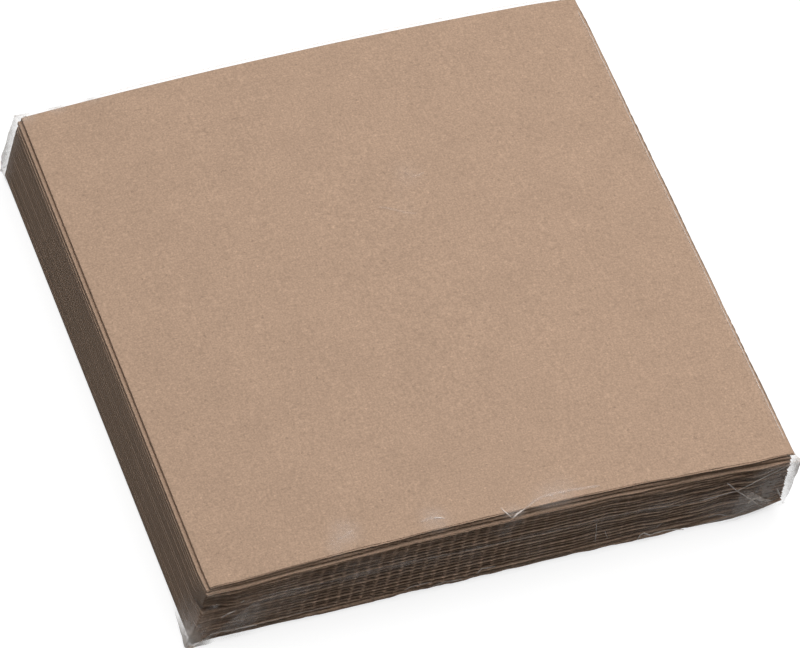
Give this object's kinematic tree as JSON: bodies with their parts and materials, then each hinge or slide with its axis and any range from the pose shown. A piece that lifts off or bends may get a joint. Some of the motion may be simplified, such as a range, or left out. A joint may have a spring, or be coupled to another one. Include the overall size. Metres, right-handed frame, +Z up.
{
  "type": "pack of paper napkins",
  "caption": "Flat square pack of quarter-folded kraft paper napkins, sealed in clear film with envelope-folded ends.",
  "frame": {"origin": "middle of the pack's underside, on the surface that it lies on", "axes": "+Z up through the stack, +X along the front edge, +Y towards the back"},
  "size_m": [0.1712, 0.1712, 0.0272],
  "materials": {
    "kraft_tissue": "matte, soft unbleached tissue",
    "clear_film": "glossy clear film"
  },
  "bodies": {
    "root": {"napkin_01": "kraft_tissue", "napkin_02": "kraft_tissue", "napkin_03": "kraft_tissue", "napkin_04": "kraft_tissue", "napkin_05": "kraft_tissue", "napkin_06": "kraft_tissue", "napkin_07": "kraft_tissue", "napkin_08": "kraft_tissue", "napkin_09": "kraft_tissue", "napkin_10": "kraft_tissue", "napkin_11": "kraft_tissue", "napkin_12": "kraft_tissue", "napkin_13": "kraft_tissue", "napkin_14": "kraft_tissue", "napkin_15": "kraft_tissue", "napkin_16": "kraft_tissue", "napkin_17": "kraft_tissue", "napkin_18": "kraft_tissue", "napkin_19": "kraft_tissue", "napkin_20": "kraft_tissue", "film_wrap": "clear_film"}
  },
  "joints": []
}
